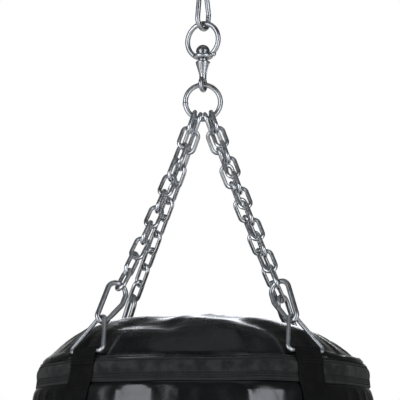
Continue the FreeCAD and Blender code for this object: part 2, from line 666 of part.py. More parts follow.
def zip_tape():
    """Tape and teeth of the filling zip, on the crown."""
    tape = zip_strip(ZIP_TAPE_LIFT, ZIP_TAPE_LIFT + ZIP_TAPE_THICKNESS, ZIP_TAPE_WIDTH)
    teeth = zip_strip(ZIP_TAPE_LIFT, ZIP_TAPE_LIFT + ZIP_TEETH_HEIGHT, ZIP_TEETH_WIDTH)
    return lean_back(tape.fuse(teeth))


def slider_place():
    """Slider frame at the closed end: X along the arc towards the open end, Z off the crown."""
    angle = math.radians(90 + ZIP_HALF_ANGLE - SLIDER_END_ANGLE)
    off = V(math.cos(angle), 0, math.sin(angle))
    sole = V(0, 0, CROWN_CENTRE_Z) + off * (CROWN_RADIUS + ZIP_TAPE_LIFT + ZIP_TEETH_HEIGHT + GAP)
    return placement(sole, V(off.z, 0, -off.x), off)


def zip_slider():
    """Slider over the teeth, with the bridge that carries its pull."""
    sole = Part.makeBox(11, 8.6, 1.6, V(-5.5, -4.3, 0))
    left = Part.makeBox(1.2, 1.6, BRIDGE_HEIGHT, V(-4.1, -0.8, 0.6))
    right = Part.makeBox(1.2, 1.6, BRIDGE_HEIGHT, V(2.9, -0.8, 0.6))
    legs = left.fuse(right)
    legs.rotate(V(0, 0, 0), Z_AXIS, 90)
    beam = Part.makeCylinder(0.7, 8.0, V(0, -4.0, BRIDGE_HEIGHT), Y_AXIS)
    return lean_back(placed(sole.fuse([legs, beam]), slider_place()))


def zip_pull():
    """Pull with a loop round the slider's bridge, lying back on the teeth."""
    loop = Part.makeTorus(1.8, 0.6, V(0, 0, 0), Y_AXIS)
    tab = Part.makeBox(PULL_LENGTH, 6.4, 1.2, V(2.0, -3.2, -0.6))
    edges = [e for e in tab.Edges if abs(e.tangentAt(e.FirstParameter).z) > 0.9]
    tab = tab.makeFillet(1.8, edges)
    eye = Part.makeCylinder(1.6, 2.0, V(PULL_LENGTH - 2.4, 0, -1.0))
    pull = loop.fuse(tab.cut(eye))
    pull.rotate(V(0, 0, 0), Y_AXIS, PULL_DROOP)
    pull.translate(V(0, 0, BRIDGE_HEIGHT))
    return lean_back(placed(pull, slider_place()))


# ------------------------------------------------------------------ build
def build_top_gear():
    build_hook("top_hook", top_hook_place())
    save("upper_ring", upper_ring())
    save("swivel_pin", swivel_pin())
    save("swivel_washer", washer(WASHER_Z, WASHER_RADIUS, SWIVEL_SHAFT_RADIUS + 0.1, WASHER_THICKNESS))
    save("swivel_neck", washer(YOKE_TOP_Z + GAP / 2, NECK_RADIUS, SWIVEL_SHAFT_RADIUS - 2.1, NECK_HEIGHT - GAP / 2))
    save("swivel_yoke", swivel_yoke())
    save("lower_ring", lower_ring())


def build_corners():
    for name, corner in CORNERS.items():
        save("chain_" + name, chain(corner))
        build_hook("hook_" + name, hook_place(corner))
        save("triangle_" + name, triangle_ring(corner))
        save("strap_" + name, strap(corner))


def build_bag():
    save("bag_shell", bag_shell())
    save("top_collar", top_collar())
    save("top_cover", top_cover())
    save("bottom_panel", bottom_panel())
    save("bottom_binding", bottom_binding())
    save("foam_liner", foam_liner())
    save("textile_fill", textile_fill())
    save("zip_tape", zip_tape())
    save("zip_slider", zip_slider())
    save("zip_pull", zip_pull())


build_top_gear()
build_corners()
build_bag()
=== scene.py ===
import math

import bpy
import numpy as np
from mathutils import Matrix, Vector, noise


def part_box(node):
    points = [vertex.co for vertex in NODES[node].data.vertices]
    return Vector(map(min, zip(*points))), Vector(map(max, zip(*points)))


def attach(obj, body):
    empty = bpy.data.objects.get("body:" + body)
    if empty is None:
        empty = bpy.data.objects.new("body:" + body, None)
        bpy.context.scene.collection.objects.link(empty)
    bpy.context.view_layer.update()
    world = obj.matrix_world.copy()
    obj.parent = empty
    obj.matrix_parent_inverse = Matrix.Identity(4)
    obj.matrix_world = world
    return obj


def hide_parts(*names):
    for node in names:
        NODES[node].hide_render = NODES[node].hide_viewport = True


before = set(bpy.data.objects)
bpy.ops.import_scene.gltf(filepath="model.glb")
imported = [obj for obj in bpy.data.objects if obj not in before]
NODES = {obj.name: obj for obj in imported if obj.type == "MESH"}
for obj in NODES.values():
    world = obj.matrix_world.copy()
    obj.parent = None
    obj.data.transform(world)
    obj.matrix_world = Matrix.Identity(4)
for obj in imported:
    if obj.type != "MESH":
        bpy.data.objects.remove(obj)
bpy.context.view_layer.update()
TAU = 2 * math.pi
MM = 0.001
# Vertices round the bag in each piece.
COVER_STEPS = 720
COLLAR_STEPS = 540
SHELL_STEPS = 400
BAND_STEPS = 420
PANEL_STEPS = 240

# ------------------------------------------------------------------ places read from the frame
COLLAR_LOW, COLLAR_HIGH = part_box("top_collar")
COLLAR_TOP = COLLAR_HIGH.z
COLLAR_FOOT = COLLAR_LOW.z
COLLAR_RADIUS = COLLAR_HIGH.x
SHELL_LOW, SHELL_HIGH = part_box("bag_shell")
BAG_RADIUS = SHELL_HIGH.x
BOTTOM = SHELL_LOW.z
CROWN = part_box("top_cover")[1].z
RING_LOW, RING_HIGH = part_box("lower_ring")
RING_CENTRE = (RING_LOW.z + RING_HIGH.z) / 2
CORNER_NAMES = ("front_left", "front_right", "back_left", "back_right")
BAR_WIRE = 0.002              # radius of the triangle rings' wire


def node_points(node):
    """Vertices of a CAD node as an array."""
    mesh = NODES[node].data
    points = np.empty(len(mesh.vertices) * 3)
    mesh.vertices.foreach_get("co", points)
    return points.reshape(-1, 3)


def corner_facts(name):
    """Azimuth of a corner's strap, and radius and height of its triangle's base bar."""
    strap = node_points("strap_" + name)
    centre = (strap.max(0) + strap.min(0)) / 2
    for _ in range(6):
        azimuth = math.atan2(centre[1], centre[0])
        side = np.array([-math.sin(azimuth), math.cos(azimuth), 0])
        across = strap @ side
        centre = centre + side * (across.max() + across.min()) / 2
    ring = node_points("triangle_" + name)
    low = ring[ring[:, 2] < ring[:, 2].min() + 2 * BAR_WIRE + 0.0001]
    out = low @ np.array([math.cos(azimuth), math.sin(azimuth), 0])
    return azimuth, (out.max() + out.min()) / 2, ring[:, 2].min() + BAR_WIRE


CORNERS = {name: corner_facts(name) for name in CORNER_NAMES}


# ------------------------------------------------------------------ numbers and noise
def smooth(low, high, value):
    """Smooth step from 0 at low to 1 at high."""
    share = np.clip((value - low) / (high - low), 0.0, 1.0)
    return share * share * (3 - 2 * share)


def turn_between(a, b):
    """Smallest angle between two directions, for arrays of radians."""
    return np.abs((a - b + math.pi) % TAU - math.pi)


def cloudy(points, size, seed, octaves=3):
    """Soft noise of about -1 to 1 at each point; size is the width of its largest lumps in metres."""
    shift = Vector((seed * 7.31, seed * 3.17, seed * 5.71))
    flat = points.reshape(-1, 3)
    values = [noise.fractal(Vector(p) / size + shift, 0.6, 2.1, octaves) for p in flat]
    return np.array(values).reshape(points.shape[:-1])


def creases(points, size, seed):
    """Noise with long soft ridges, from 0 to 1."""
    return np.exp(-(cloudy(points, size, seed, 1) / 0.16) ** 2)


# ------------------------------------------------------------------ meshes
def mesh_object(name, verts, faces, uvs=None):
    """Smooth-shaded object from vertices and faces, with texture coordinates in metres."""
    mesh = bpy.data.meshes.new(name)
    mesh.from_pydata([tuple(v) for v in verts], [], faces)
    if uvs is not None:
        layer = mesh.uv_layers.new(name="cloth")
        corners = np.empty(len(mesh.loops), dtype=np.int32)
        mesh.loops.foreach_get("vertex_index", corners)
        layer.data.foreach_set("uv", np.asarray(uvs)[corners].ravel())
    mesh.polygons.foreach_set("use_smooth", [True] * len(mesh.polygons))
    mesh.update()
    obj = bpy.data.objects.new(name, mesh)
    bpy.context.scene.collection.objects.link(obj)
    return obj


def grid_faces(rows, cols, wrap_rows=False, wrap_cols=False, flip=False):
    """Quads of a grid of rows x cols vertices."""
    faces = []
    for i in range(rows if wrap_rows else rows - 1):
        a, b = i * cols, (i + 1) % rows * cols
        for j in range(cols if wrap_cols else cols - 1):
            k = (j + 1) % cols
            quad = (a + j, a + k, b + k, b + j)
            faces.append(quad[::-1] if flip else quad)
    return faces


def tube_faces(rows, cols):
    """Faces of a closed section swept along a line, with a cap at each end."""
    faces = grid_faces(rows, cols, wrap_cols=True)
    faces.append(tuple(range(cols))[::-1])
    faces.append(tuple(range((rows - 1) * cols, rows * cols)))
    return faces


def around(count):
    return np.linspace(0, TAU, count, endpoint=False)


def turned(radius, angle, height):
    """Points from cylindrical coordinates."""
    radius, angle, height = np.broadcast_arrays(radius, angle, height)
    return np.stack([radius * np.cos(angle), radius * np.sin(angle), height], axis=-1)


def revolved(name, section, count, shape=None):
    """Closed section (radius, height) swept round the axis; shape moves the (rows, count, 3) points."""
    section = np.asarray(section)
    angle = around(count)[None, :]
    points = turned(section[:, :1], angle, section[:, 1:])
    if shape is not None:
        points = shape(points, angle)
    faces = grid_faces(len(section), count, wrap_rows=True, wrap_cols=True)
    return mesh_object(name, points.reshape(-1, 3), faces)


class Pile:
    """Many small copies gathered into one mesh."""

    def __init__(self):
        self.verts = []
        self.faces = []

    def add(self, verts, faces):
        start = len(self.verts)
        self.verts.extend(tuple(v) for v in verts)
        self.faces.extend(tuple(start + k for k in face) for face in faces)

    def make(self, name):
        return mesh_object(name, self.verts, self.faces)


STITCH_SIDES = 5
# Along a stitch: share of its length, and its width and lift in thread radii.
STITCH_STATIONS = (
    (-0.5, 0.25, -0.9),
    (-0.34, 0.9, -0.1),
    (0.0, 1.0, 0.25),
    (0.34, 0.9, -0.1),
    (0.5, 0.25, -0.9),
)


def add_stitch(pile, centre, along, out, length, radius):
    """One plump thread stitch whose two ends sink into the cloth."""
    side = np.cross(along, out)
    verts = []
    for share, width, lift in STITCH_STATIONS:
        middle = centre + along * (share * length) + out * (lift * radius)
        for k in range(STITCH_SIDES):
            a = TAU * k / STITCH_SIDES
            verts.append(middle + (side * math.cos(a) + out * math.sin(a)) * (radius * width))
    pile.add(verts, tube_faces(len(STITCH_STATIONS), STITCH_SIDES))


def stitch_line(pile, points, outs, pitch=3.6 * MM, radius=0.42 * MM, fill=0.72):
    """A row of stitches along a line of points with outward directions."""
    points, outs = np.asarray(points), np.asarray(outs)
    steps = np.linalg.norm(np.diff(points, axis=0), axis=1)
    run = np.concatenate([[0], np.cumsum(steps)])
    count = max(1, int(round(run[-1] / pitch)))
    pitch = run[-1] / count
    for i in range(count):
        where = (i + 0.5) * pitch
        ends = [where - pitch * fill / 2, where + pitch * fill / 2]
        low, high = [np.array([np.interp(e, run, points[:, k]) for k in range(3)]) for e in ends]
        out = np.array([np.interp(where, run, outs[:, k]) for k in range(3)])
        along = (high - low) / np.linalg.norm(high - low)
        out = out - along * (out @ along)
        add_stitch(pile, (low + high) / 2, along, out / np.linalg.norm(out), pitch * fill, radius)


# ------------------------------------------------------------------ materials
class Shader:
    """Builds one node material."""

    def __init__(self, name):
        self.material = bpy.data.materials.new(name)
        self.material.use_nodes = True
        self.tree = self.material.node_tree
        self.bsdf = self.tree.nodes["Principled BSDF"]

    def node(self, kind, inputs=None, **settings):
        made = self.tree.nodes.new("ShaderNode" + kind)
        for key, value in settings.items():
            setattr(made, key, value)
        for key, value in (inputs or {}).items():
            self.put(value, made.inputs[key])
        return made

    def put(self, value, socket):
        """Links an output, or sets a plain value."""
        if isinstance(value, bpy.types.NodeSocket):
            self.tree.links.new(value, socket)
        else:
            socket.default_value = value

    def set(self, **inputs):
        for key, value in inputs.items():
            self.put(value, self.bsdf.inputs[key.replace("_", " ")])

    def place(self):
        return self.node("TexCoord").outputs["Object"]

    def cloth(self):
        return self.node("UVMap", uv_map="cloth").outputs["UV"]

    def cylinder(self, radius):
        """Coordinates round the bag: arc length, 0, height."""
        split = self.node("SeparateXYZ", {0: self.place()})
        angle = self.maths("ARCTAN2", split.outputs["Y"], split.outputs["X"])
        arc = self.maths("MULTIPLY", angle, radius)
        return self.node("CombineXYZ", {"X": arc, "Y": 0.0, "Z": split.outputs["Z"]}).outputs[0]

    def maths(self, operation, a, b=0.0):
        return self.node("Math", {0: a, 1: b}, operation=operation).outputs[0]

    def noise(self, vector, scale, detail=3.0, rough=0.55):
        inputs = {"Vector": vector, "Scale": scale, "Detail": detail, "Roughness": rough}
        return self.node("TexNoise", inputs).outputs["Fac"]

    def stretched(self, vector, scale):
        return self.node("VectorMath", {0: vector, 1: scale}, operation="MULTIPLY").outputs[0]

    def cells(self, vector, scale, feature="F1"):
        made = self.node("TexVoronoi", {"Vector": vector, "Scale": scale}, feature=feature)
        return made.outputs["Distance"]

    def span(self, value, low, high, to_low, to_high):
        """Value mapped from one range to another, and kept inside it."""
        inputs = {"Value": value, "From Min": low, "From Max": high, "To Min": to_low, "To Max": to_high}
        return self.node("MapRange", inputs).outputs[0]

    def waves(self, coordinate, period):
        """Sine from 0 to 1 with that period."""
        turn = self.maths("MULTIPLY", coordinate, TAU / period)
        return self.span(self.maths("SINE", turn), -1.0, 1.0, 0.0, 1.0)

    def blend(self, share, a, b):
        made = self.node("Mix", {"Factor": share}, data_type="RGBA")
        self.put(a, made.inputs["A"] if isinstance(a, bpy.types.NodeSocket) else made.inputs[6])
        self.put(b, made.inputs["B"] if isinstance(b, bpy.types.NodeSocket) else made.inputs[7])
        return made.outputs[2]

    def bump(self, height, strength, distance, below=None):
        inputs = {"Height": height, "Strength": strength, "Distance": distance}
        if below is not None:
            inputs["Normal"] = below
        return self.node("Bump", inputs).outputs[0]


def grey(level, warmth=0.0):
    return (level * (1 + warmth), level, level * (1 - warmth), 1.0)


def steel(name, level, rough, dirt=0.35):
    """Plated steel wire: drawn-wire marks, cloudy plating, dull spots and darker grime."""
    s = Shader(name)
    place = s.place()
    cloud = s.noise(place, 260.0, 4.0)
    broad = s.noise(place, 60.0, 3.0)
    spots = s.span(s.cells(place, 700.0), 0.0, 0.45, 0.0, 1.0)
    tone = s.blend(s.span(broad, 0.35, 0.7, 0.0, 1.0), grey(level * (1 - dirt), -0.015), grey(level, -0.03))
    tone = s.blend(s.span(cloud, 0.40, 0.68, 0.0, 0.3), tone, grey(level * 1.12, -0.03))
    s.set(Base_Color=tone, Metallic=1.0)
    clouded = s.span(cloud, 0.3, 0.7, rough * 0.75, rough * 1.35)
    s.set(Roughness=s.maths("ADD", clouded, s.maths("MULTIPLY", spots, 0.03)))
    fine = s.bump(s.noise(place, 1500.0, 2.0), 0.01, 0.0003)
    s.set(Normal=s.bump(broad, 0.04, 0.0008, fine))
    return s.material


def vinyl(name, level, rough, grain, coat, haze, swell):
    """Coated vinyl: fine leather grain, soft scuffs and faint dust."""
    s = Shader(name)
    place = s.place()
    grain_cells = s.cells(place, 900.0)
    dust = s.noise(place, 38.0, 5.0, 0.6)
    scuff = s.noise(s.stretched(place, (16.0, 16.0, 9.0)), 1.6, 4.0, 0.65)
    tone = s.blend(s.span(dust, 0.45, 0.75, 0.0, 0.6), grey(level, -0.08), grey(level * 2.2, -0.02))
    s.set(Base_Color=tone)
    worn = s.span(scuff, 0.5, 0.75, 0.0, rough * 0.5)
    s.set(Roughness=s.maths("ADD", s.span(dust, 0.3, 0.75, rough * 0.85, rough * 1.35), worn))
    s.set(Specular_IOR_Level=0.5, Coat_Weight=coat, Coat_Roughness=0.24)
    s.set(Sheen_Weight=haze, Sheen_Roughness=0.22)
    wavy = s.bump(s.noise(place, 55.0, 2.0, 0.4), swell, 0.002)
    s.set(Normal=s.bump(grain_cells, grain, 0.0003, wavy))
    return s.material


# Depths below the collar's top between which its ribbed edges give way to the smooth middle band.
UPPER_RIBS_END = (0.0045, 0.0065)
LOWER_RIBS_START = (0.0145, 0.0170)


def collar_band(s, height):
    """1 on the smooth middle band of the collar, falling to 0 on its ribbed edges."""
    top = s.span(height, COLLAR_TOP - UPPER_RIBS_END[1], COLLAR_TOP - UPPER_RIBS_END[0], 1.0, 0.0)
    foot = s.span(height, COLLAR_TOP - LOWER_RIBS_START[1], COLLAR_TOP - LOWER_RIBS_START[0], 0.0, 1.0)
    return s.maths("MULTIPLY", top, foot)


def webbing(name, level, coordinates, rib, sheen, shine):
    """Woven webbing: ribs across, yarns along, fuzz and a little fading."""
    s = Shader(name)
    on_collar = name.startswith("collar")
    vector = coordinates(s)
    split = s.node("SeparateXYZ", {0: vector})
    across, along = split.outputs["X"], split.outputs["Z" if on_collar else "Y"]
    ribs = s.waves(along, rib)
    yarns = s.waves(across, rib * 0.55)
    wander = s.noise(s.place(), 90.0, 4.0)
    weave = s.maths("ADD", s.maths("MULTIPLY", ribs, 0.7), s.maths("MULTIPLY", yarns, 0.3))
    fuzz = s.noise(s.place(), 2400.0, 2.0)
    tone = s.blend(weave, grey(level * 0.35), grey(level * 1.5))
    tone = s.blend(s.span(wander, 0.42, 0.7, 0.0, 0.5), tone, grey(level * 1.9, 0.01))
    if on_collar:
        band = collar_band(s, along)
        cloudy_face = s.blend(s.span(wander, 0.38, 0.66, 0.0, 1.0), grey(level * 0.55), grey(level * 1.9))
        tone = s.blend(band, tone, cloudy_face)
        weave = s.maths("MULTIPLY", weave, s.span(band, 0.0, 1.0, 1.0, 0.15))
    s.set(Base_Color=tone, Roughness=s.span(wander, 0.3, 0.7, 0.72, 0.95))
    s.set(Sheen_Weight=sheen, Sheen_Roughness=0.5, Specular_IOR_Level=shine)
    height = s.maths("ADD", weave, s.maths("MULTIPLY", fuzz, 0.35))
    s.set(Normal=s.bump(height, 0.55, 0.0005))
    return s.material


def thread(name, level):
    """Dull sewing thread with a fine twist."""
    s = Shader(name)
    twist = s.noise(s.place(), 2600.0, 2.0)
    tone = s.blend(s.span(twist, 0.35, 0.65, 0.0, 1.0), grey(level * 0.5), grey(level * 1.6))
    s.set(Base_Color=tone, Roughness=s.span(twist, 0.3, 0.7, 0.5, 0.75), Specular_IOR_Level=0.15)
    s.set(Normal=s.bump(twist, 0.4, 0.0002))
    return s.material


def foam(name, level):
    """Open-celled or matted stuffing."""
    s = Shader(name)
    cells = s.cells(s.place(), 500.0)
    tone = s.blend(s.span(cells, 0.1, 0.6, 0.0, 1.0), grey(level * 0.4), grey(level))
    s.set(Base_Color=tone, Roughness=0.95, Normal=s.bump(cells, 0.6, 0.001))
    return s.material


def moulded(name, level):
    """Moulded plastic of the zip's teeth."""
    s = Shader(name)
    cloud = s.noise(s.place(), 420.0, 3.0)
    s.set(Base_Color=s.blend(cloud, grey(level * 0.7), grey(level * 1.3)))
    s.set(Roughness=s.span(cloud, 0.3, 0.7, 0.32, 0.5), Normal=s.bump(cloud, 0.15, 0.0003))
    return s.material


def around_bag(shader):
    return shader.cylinder(COLLAR_RADIUS)


def along_cloth(shader):
    return shader.cloth()


MATERIALS = {
    "zinc": steel("zinc_plate", 0.50, 0.30, 0.14),
    "chain": steel("chain_plate", 0.66, 0.27, 0.22),
    "ring": steel("ring_plate", 0.62, 0.40, 0.12),
    "dark": steel("dark_plate", 0.42, 0.30),
    "shell": vinyl("shell_vinyl", 0.003, 0.20, 0.06, 0.2, 0.0, 0.4),
    "cover": vinyl("cover_vinyl", 0.0035, 0.26, 0.2, 0.0, 0.45, 0.25),
    "collar": webbing("collar_webbing", 0.0145, around_bag, 2.4 * MM, 0.05, 0.16),
    "strap": webbing("strap_webbing", 0.0055, along_cloth, 1.8 * MM, 0.0, 0.05),
    "thread": thread("seam_thread", 0.009),
    "foam": foam("foam_sheet", 0.3),
    "textile": foam("textile_waste", 0.25),
    "zip": moulded("zip_plastic", 0.02),
    "tape": webbing("zip_tape_cloth", 0.014, along_cloth, 0.9 * MM, 0.1, 0.2),
}


def paint(obj, material):
    obj.data.materials.clear()
    obj.data.materials.append(MATERIALS[material])
    return obj


def finish_piece(obj, material, body, slot, *stands_for):
    """Material, body and the CAD nodes that a piece stands for; slot is not used."""
    paint(obj, material)
    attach(obj, body)
    if stands_for:
        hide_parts(*stands_for)
    return obj


# ------------------------------------------------------------------ top cover
# Radius, and height over the collar's top, in mm.
COVER_PROFILE = ((0, 44.6), (20, 44.2), (40, 43.2), (60, 41.8), (76, 40.2), (92, 38.0), (105, 35.2),
                 (116, 31.8), (126, 27.6), (134, 22.8), (141, 17.4), (147, 11.8), (151, 8.0), (154, 5.0),
                 (156.4, 2.0), (157.6, -3), (158, -12))
COVER_THICKNESS = 0.0016
RIGHT_SLACK = 3.4 * MM        # how much lower the cover lies at the front right
RIGHT_DROOP = 5.2 * MM        # how much lower the right and left shoulders sag
LEFT_DROOP = 2.0 * MM
STRAP_SQUEEZE = 0.0058        # how much further in the rim lies at a strap
# Pleats down the cover's shoulder: azimuth in degrees, first and last radius, width and height in mm.
SHOULDER_PLEATS = (
    (-17, 104, 150, 3.4, 1.5),
    (-11.5, 112, 148, 2.6, 1.1),
    (-7, 116, 150, 2.2, 0.9),
    (-2, 122, 150, 2.6, 0.8),
    (14, 110, 148, 3.6, 1.2),
    (-30, 118, 150, 4.5, 1.1),
    (187, 118, 140, 2.6, 1.0),
    (193, 108, 148, 4.0, 0.9),
    (203, 116, 150, 4.0, 1.0),
    (166, 112, 150, 4.4, 1.4),
    (82, 116, 150, 5.0, 1.3),
    (100, 110, 148, 4.0, 1.1),
    (-76, 126, 150, 6.0, 0.8),
    (-104, 124, 150, 6.0, 0.8),
)
PLEAT_FADE = 9                # mm over which a pleat rises from nothing, and falls again
# Folds of the slack cover: start x, y and end x, y, width, height, all in millimetres.
COVER_FOLDS = (
    (-96, -58, -30, -50, 22, 2.6),
    (-66, -92, -34, -112, 14, -3.4),
    (-24, -52, -14, -84, 11, 1.7),
    (-40, -64, -8, -66, 16, 0.7),
    (4, -62, 34, -62, 16, 0.9),
    (-20, -62, 26, -64, 24, -2.3),
    (8, -46, 60, -86, 15, 3.0),
    (66, -64, 96, -88, 16, 1.6),
    (-22, -96, 14, -116, 18, 2.6),
    (46, -100, 74, -118, 13, -2.6),
    (-110, -20, -86, 30, 16, 3.2),
    (100, -30, 112, 26, 14, -2.6),
    (-60, 92, -10, 112, 14, 3.0),
    (22, 96, 70, 108, 12, -2.4),
    (-30, -20, 26, -34, 18, 1.8),
    (74, 60, 112, 44, 14, 2.6),
    (-112, 66, -84, 92, 12, 2.4),
)
# Gathers round the cover's rim, and round the shell's neck: how many, phase, and size in mm.
RIM_GATHERS = ((23, 0.4, 0.30), (41, 1.9, 0.16), (13, 3.1, 0.40))
NECK_GATHERS = ((19, 0.2, 0.40), (33, 1.3, 0.26), (52, 2.6, 0.12))
CROWN_RISE = 48.0             # mm from the collar's top to the crown that carries the zip
ZIP_TILT = math.radians(6.0)
ZIP_HALF = math.radians(10.0)
CROWN_RADIUS = 0.49


def fold_heights(x, y):
    """Height of the folds over the plan, in metres."""
    total = np.zeros_like(x)
    for x1, y1, x2, y2, width, height in COVER_FOLDS:
        ax, ay, bx, by = x1 * MM, y1 * MM, x2 * MM, y2 * MM
        run = (bx - ax) ** 2 + (by - ay) ** 2
        share = np.clip(((x - ax) * (bx - ax) + (y - ay) * (by - ay)) / run, 0, 1)
        away = np.hypot(x - ax - share * (bx - ax), y - ay - share * (by - ay))
        total += height * MM * np.exp(-((away / (width * MM)) ** 2))
    return total


def pleat_heights(radius, angle):
    """Height of the shoulder's pleats, in metres."""
    total = np.zeros_like(radius)
    for azimuth, first, last, width, height in SHOULDER_PLEATS:
        away = (angle - math.radians(azimuth) + math.pi) % TAU - math.pi
        away = away - 0.03 * np.sin(radius * 130 + azimuth)
        run = smooth(first * MM, (first + PLEAT_FADE) * MM, radius)
        run = run * (1 - smooth((last - PLEAT_FADE) * MM, last * MM, radius))
        total += height * MM * run * np.exp(-((away * radius / (width * MM)) ** 2))
    return total


def near_zip(x, y):
    """1 on the zip's tape, falling to 0 a little way off."""
    along = 1 - smooth(0.088, 0.104, np.abs(x))
    across = 1 - smooth(0.013, 0.03, np.abs(y - CROWN_RADIUS * math.sin(ZIP_TILT)))
    return along * across


def cover_height(radius, angle):
    """Height of the cover's outer face above the collar's top, in metres."""
    x, y = radius * np.cos(angle), radius * np.sin(angle)
    profile = np.array(COVER_PROFILE) * MM
    height = np.interp(radius, profile[:, 0], profile[:, 1])
    points = np.stack([x, y, np.zeros_like(x)], axis=-1)
    slack = 1 - smooth(0.130, 0.154, radius)
    right = smooth(0.02, 0.12, x) * smooth(-0.02, 0.03, -y)
    height = height - right * slack * RIGHT_SLACK
    droop = smooth(0.095, 0.138, x) * RIGHT_DROOP + smooth(0.085, 0.120, -x) * LEFT_DROOP
    height = height - droop * (1 - smooth(0.148, 0.1562, radius))
    lumps = cloudy(points, 0.085, 3, 2) * 1.5 * MM + cloudy(points, 0.03, 5, 2) * 0.25 * MM
    crumple = creases(points, 0.09, 11) * 0.8 * MM
    gathers = np.zeros_like(radius)
    for count, phase, size in RIM_GATHERS:
        gathers += size * MM * np.sin(count * angle + phase + 2.0 * np.sin(3 * angle + phase))
    rim = smooth(0.100, 0.140, radius) * (1 - smooth(0.153, 0.157, radius))
    calm = 1 - near_zip(x, y)
    folds = slack * (fold_heights(x, y) + lumps + crumple) + rim * gathers + pleat_heights(radius, angle)
    height = height + calm * folds
    sphere = (CROWN_RISE - (radius / MM) ** 2 / (2 * CROWN_RADIUS / MM)) * MM
    return np.where(calm < 1, calm * height + (1 - calm) * (sphere - 0.2 * MM), height)


def between_straps(angle):
    """0 at a strap, 1 away from the straps."""
    apart = np.min([turn_between(angle, facts[0]) for facts in CORNERS.values()], axis=0)
    return smooth(math.radians(7.0), math.radians(11.0), apart)


def make_cover():
    """Slack, wrinkled vinyl cover over the stuffing, tucked in behind the collar."""
    tucked = [157.2, 157.6, 157.9, 158]
    radii = np.concatenate([np.linspace(1.5, 140, 96), np.linspace(141.2, 156.4, 14), tucked]) * MM
    angle = around(COVER_STEPS)[None, :]
    squeeze = STRAP_SQUEEZE * smooth(0.120, 0.156, radii[:, None]) * (1 - between_straps(angle))
    height = COLLAR_TOP + cover_height(radii[:, None] + 0 * angle, angle)
    outer = turned(radii[:, None] - squeeze, angle, height)
    inner = outer[::-4] - turned(0.0012, angle, COVER_THICKNESS)
    top = [[0, 0, COLLAR_TOP + float(cover_height(np.zeros(1), np.zeros(1))[0])]]
    low = [[0, 0, top[0][2] - COVER_THICKNESS]]
    rows = len(outer) + len(inner)
    verts = np.concatenate([outer.reshape(-1, 3), inner.reshape(-1, 3), top, low])
    faces = grid_faces(rows, COVER_STEPS, wrap_cols=True, flip=True)
    pole, under = rows * COVER_STEPS, rows * COVER_STEPS + 1
    last = (rows - 1) * COVER_STEPS
    for j in range(COVER_STEPS):
        k = (j + 1) % COVER_STEPS
        faces.append((pole, j, k))
        faces.append((under, last + k, last + j))
    cover = mesh_object("cover_skin", verts, faces)
    return finish_piece(cover, "cover", "bag", "cover_vinyl", "top_cover")


# ------------------------------------------------------------------ collar
# Heights over the collar's top, in mm, of its sewn rows and of the swells between them.
STITCH_ROWS = (-1.6, -4.4, -16.4, -18.4, -20.6)
CORD_ROWS = (-3.0, -17.4, -19.5, -21.7, -23.2)
COLLAR_FLARE = 0.0026         # how much wider the collar is at its foot
COLLAR_DEPTH = 0.0243         # height over which it flares
COLLAR_WEB = 0.0011           # thickness of the band
ROLL = 0.0034                 # how far its top edge rolls in, over this depth
ROLL_DEPTH = 0.0075


def collar_radius(height):
    """Outer radius of the collar: a little wider at its foot. Height is below the collar's top."""
    return COLLAR_RADIUS - 0.0008 + COLLAR_FLARE * (-height / COLLAR_DEPTH)


def roll_in(down):
    """How far the band's top edge leans in over the stuffing. Down is below the collar's top."""
    return ROLL * float(np.clip(1 - down / ROLL_DEPTH, 0, 1)) ** 1.8


def collar_section():
    """(radius, height) corners of the band: rolled edges, and a groove at each sewn row."""
    outer = []
    depth = COLLAR_TOP - COLLAR_FOOT
    for i in range(61):
        down = depth * i / 60
        edge = min(down, depth - down)
        radius = collar_radius(-down) - 0.0011 * (1 - smooth(0.0, 0.0016, edge)) - roll_in(down)
        for row in STITCH_ROWS:
            radius -= 0.00045 * math.exp(-(((down + row * MM) / 0.0007) ** 2))
        for row in CORD_ROWS:
            radius += 0.0004 * math.exp(-(((down + row * MM) / 0.0006) ** 2))
        radius += 0.0009 * math.sin(math.pi * min(1, max(0, (down - 0.0048) / 0.0112)))
        outer.append((radius, COLLAR_TOP - down))
    inner = [(r - COLLAR_WEB, z) for r, z in (outer[-1], outer[0])]
    return outer + inner


def collar_wave(angle):
    """How far the band's edge wanders up and down round the bag."""
    return 0.0006 * np.sin(5 * angle + 0.7) + 0.0004 * np.sin(11 * angle + 2.1)


def shape_collar(points, angle):
    radial = np.stack([np.cos(angle), np.sin(angle), 0 * angle], axis=-1)
    puffs = cloudy(points, 0.045, 21, 2) * 0.0007
    points = points + radial * puffs[..., None]
    points[..., 2] += collar_wave(angle)
    return points


def make_collar():
    section = collar_section()
    collar = revolved("collar_band", section, COLLAR_STEPS, shape_collar)
    finish_piece(collar, "collar", "bag", "collar_web", "top_collar")
    rows = Pile()
    for row in STITCH_ROWS:
        angle = np.linspace(0, TAU, 900)
        radius = collar_radius(row * MM) - roll_in(-row * MM) - 0.00015
        points = turned(radius, angle, COLLAR_TOP + row * MM)
        points = shape_collar(points[None], angle[None])[0]
        outs = turned(1.0, angle, 0)
        stitch_line(rows, points, outs, 3.4 * MM, 0.36 * MM)
    finish_piece(rows.make("collar_stitches"), "thread", "bag", "collar_web")


# ------------------------------------------------------------------ shell
# Height over the collar's top, and radius, in mm.
BODY_PROFILE = ((-90, 171.0), (-75, 170.6), (-60, 169.7), (-48, 168.4), (-38, 166.8), (-32, 165.6),
                (-28, 164.6), (-25.5, 163.4), (-24.3, 162.0), (-22.5, 160.4), (-8, 159.2), (-1.2, 158.8))
BOTTOM_ROUND = 0.016
